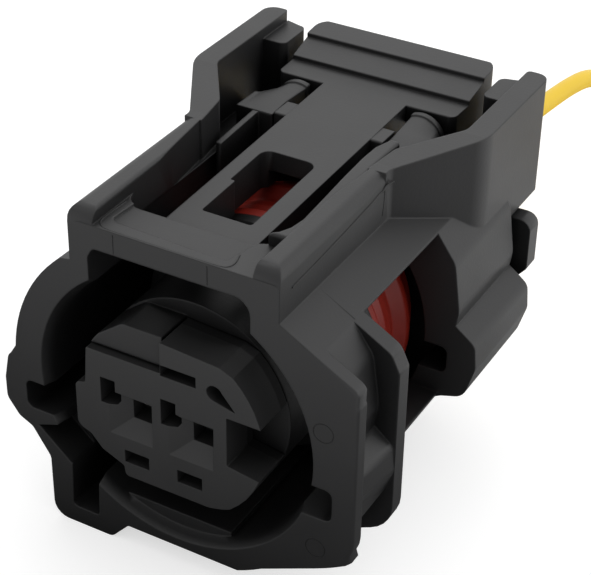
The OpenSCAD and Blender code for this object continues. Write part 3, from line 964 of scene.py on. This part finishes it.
@dataclass(frozen=True)
class Station:
    """A section of a pivot bar across Y: its sides, and its flat top or the arc of a round one."""

    y: float
    inner: float
    outer: float
    radius: float = 1.66
    centre: float = 9.84
    middle: float = 4.63
    flat_top: float | None = None

    def top(self, x: float) -> float:
        """Works out the height of the upper side.

        Args:
            x: place along X.

        Returns:
            The height, in millimetres.
        """
        if self.flat_top is not None:
            return self.flat_top
        return self.centre + math.sqrt(max(0.0, self.radius ** 2 - (x - self.middle) ** 2))

    def outline(self, side: int, steps: int, floor: float) -> list[Point]:
        """Works out the section.

        Args:
            side: 1 for the right bar, -1 for the left one.
            steps: pieces of the upper side.
            floor: height of the underside.

        Returns:
            Its points, in millimetres.
        """
        places = [self.inner + (self.outer - self.inner) * i / steps for i in range(steps + 1)]
        run = [(self.inner, floor), *((x, self.top(x)) for x in places), (self.outer, floor)]
        return [(side * x, self.y, z) for x, z in run]


@dataclass(frozen=True)
class PivotBars:
    """The pivot bosses' smooth upper sides: flat in front, a half-round end with a lip behind."""

    stations: tuple[Station, ...] = (
        Station(y=18.62, inner=4.13, outer=6.9, flat_top=11.12),
        Station(y=20.7, inner=4.12, outer=6.7, flat_top=11.25),
        Station(y=22.9, inner=3.97, outer=6.17, radius=1.56, centre=9.82),
        Station(y=22.92, inner=3.92, outer=6.27),
        Station(y=23.36, inner=3.92, outer=6.27))
    floor: float = 8.3
    steps: int = 18
    rounding: EdgeRound = EdgeRound(width=0.07, segments=2, sharp=40.0)

    def build(self, material: bpy.types.Material) -> None:
        """Adds both bars as one piece.

        Args:
            material: the finish.
        """
        work = bmesh.new()
        for side in (-1, 1):
            loft(work, [station.outline(side, self.steps, self.floor)
                        for station in self.stations])
        piece = make_piece("pivot_bars", work, material, smooth_faces=True)
        self.rounding.apply(piece)
        hand_over(piece, Body.HOUSING)


@dataclass(frozen=True)
class SlotLip:
    """The right guard's inner lip, which draws in towards the rear along the lever's slot."""

    inner: tuple[tuple[float, float], ...] = (
        (4.3, 3.5), (4.85, 3.95), (5.2, 4.7), (5.36, 5.8), (5.22, 8.4), (5.04, 11.3),
        (4.93, 14.0), (4.98, 15.6), (5.4, 17.0))
    outer: float = 6.1
    low: float = 10.6
    high: float = 12.78
    rounding: EdgeRound = EdgeRound(width=0.3, segments=4, sharp=50.0, flat_faces=False)

    def build(self, material: bpy.types.Material) -> None:
        """Adds the lip.

        Args:
            material: the finish.
        """
        plan = [(self.outer, self.inner[0][1]), *self.inner, (self.outer, self.inner[-1][1])]
        work = bmesh.new()
        loft(work, [[(x, y, z) for x, y in plan] for z in (self.low, self.high)])
        piece = make_piece("slot_lip", work, material)
        self.rounding.apply(piece)
        hand_over(piece, Body.HOUSING)


@dataclass(frozen=True)
class SealShadeRing:
    """A black ring on the tower, just ahead of the interface seal: a dark piece put there as
    painted shade over the seal's front.
    """

    inner: float = 7.3
    outer: float = 8.42
    front: float = 10.02
    rear: float = 10.9
    steps: int = 96

    def build(self, material: bpy.types.Material) -> None:
        """Adds the ring of painted shade.

        Args:
            material: the finish.
        """
        profile = ((self.inner, self.front), (self.outer, self.front), (self.outer, self.rear),
                   (self.inner, self.rear))
        turns = [math.tau * i / self.steps for i in range(self.steps)]
        work = bmesh.new()
        loft(work, [[(r * math.cos(turn), y, r * math.sin(turn)) for r, y in profile]
                    for turn in turns], closed=True)
        piece = make_piece("seal_shade_ring", work, material)
        hand_over(piece, Body.HOUSING)


@dataclass(frozen=True)
class MouldMarks:
    """Fine raised lines that the mould leaves: parting lines, pin circles and the panel's bead."""

    pin_places: tuple[tuple[float, float], ...] = ((10.2, 2.85), (9.87, -6.04))
    pin_radius: float = 0.66
    pin_steps: int = 36
    panel_bead: tuple[Point, ...] = (
        (-5.26, 3.3, 11.9), (-5.34, 1.5, 11.9), (-5.3, 0.8, 11.9), (-5.0, 0.35, 11.89),
        (-4.4, 0.17, 11.87), (-2.0, 0.15, 11.86), (1.0, 0.15, 11.86), (3.2, 0.17, 11.87),
        (3.7, 0.4, 11.89), (3.8, 0.9, 11.9), (3.6, 1.7, 11.9))
    guard_line: tuple[Point, ...] = (
        (7.21, 1.4, 11.1), (7.21, 4.0, 11.22), (7.21, 7.5, 11.42), (7.21, 10.8, 11.68),
        (7.21, 12.0, 11.82), (7.22, 12.7, 11.8))
    guard_tick: tuple[Point, ...] = ((7.21, 12.4, 11.75), (7.25, 12.8, 12.0), (7.42, 13.5, 12.05))
    guard_end: tuple[Point, ...] = ((7.2, 12.75, 11.7), (7.2, 12.7, 10.9), (7.2, 12.55, 10.0))
    bar_seams: tuple[float, ...] = (-3.99, 2.46)
    bar_heights: tuple[float, float] = (10.45, 11.7)
    fine_radius: float = 0.028
    ridge_radius: float = 0.055
    sides: int = 8
    curve_steps: int = 4

    def circle(self, x: float, z: float) -> list[Point]:
        """Works out a pin's circle on the rim's face.

        Args:
            x: its middle along X.
            z: its middle along Z.

        Returns:
            The closed run of points, in millimetres.
        """
        turns = [math.tau * i / self.pin_steps for i in range(self.pin_steps + 1)]
        return [(x + self.pin_radius * math.cos(turn), 0.0, z + self.pin_radius * math.sin(turn))
                for turn in turns]

    def build(self, tree: bpy.types.NodeTree, material: bpy.types.Material) -> None:
        """Adds the marks, finer ones and thicker ones.

        Args:
            tree: the tree of sweep_tree.
            material: the finish.
        """
        fine = [self.circle(x, z) for x, z in self.pin_places]
        fine += [[(x, 0.0, z) for z in self.bar_heights] for x in self.bar_seams]
        fine.append(list(self.guard_end))
        ridges = (self.panel_bead, self.guard_line, self.guard_tick)
        lines = [[Vector(p) * MM for p in run] for run in fine]
        beads = [smooth([Vector(p) * MM for p in run], self.curve_steps) for run in ridges]
        for name, radius, runs in (("mould_fine_lines", self.fine_radius, lines),
                                   ("mould_ridges", self.ridge_radius, beads)):
            piece = Sweep(name, radius, self.sides).build(runs, tree, material)
            hand_over(piece, Body.HOUSING)
            LOG.info("%s: %d runs", name, len(runs))


# ------------------------------------------------------------------ the whole scene


def paint(frame: dict[str, Any], node: str, material: bpy.types.Material) -> None:
    """Gives a CAD node a finish.

    Args:
        frame: the loaded model.
        node: the node's name.
        material: the finish.
    """
    target = frame["nodes"][node]
    target.data.materials.clear()
    target.data.materials.append(material)
    LOG.info("%s painted %s", node, material.name)


def main() -> None:
    """Builds the whole scene."""
    logging.basicConfig(level=logging.INFO, format="%(message)s")
    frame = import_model()
    cad_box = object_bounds()
    VIEWPOINT.build()
    sweep = sweep_tree()
    yellow = INSULATION.build()
    for wire in WIRES:
        wire.build(sweep, yellow)

    black, lever, holder = HOUSING.build(), LEVER.build(), HOLDER.build()
    Moulding("housing", Body.HOUSING, Slot.HOUSING, SOFT_EDGE, nudges=HOUSING_NUDGES,
             hood_edge=HoodEdge()).build(frame, black)
    Moulding("latch_lever", Body.LEVER, Slot.HOUSING, SOFT_EDGE).build(frame, lever)
    Moulding("front_holder", Body.HOLDER, Slot.HOLDER, FINE_EDGE, nudges=HOLDER_NUDGES,
             lead_ins=LEAD_INS).build(frame, holder)

    PivotBars().build(black)
    SlotLip().build(black)
    # a black ring of painted shade over the seal's front
    SealShadeRing().build(black)
    MouldMarks().build(sweep, black)

    red, tin, copper, tie = SILICONE.build(), TINNED.build(), STRANDS.build(), TIE.build()
    for node in ("interface_seal", "wire_seal_left", "wire_seal_right"):
        paint(frame, node, red)
    for side in ("left", "right"):
        paint(frame, f"terminal_{side}", tin)
        paint(frame, f"conductor_{side}", copper)
        paint(frame, f"coil_tie_{side}", tie)

    Studio().build(low=cad_box[0][2])


if __name__ == "__main__":
    main()
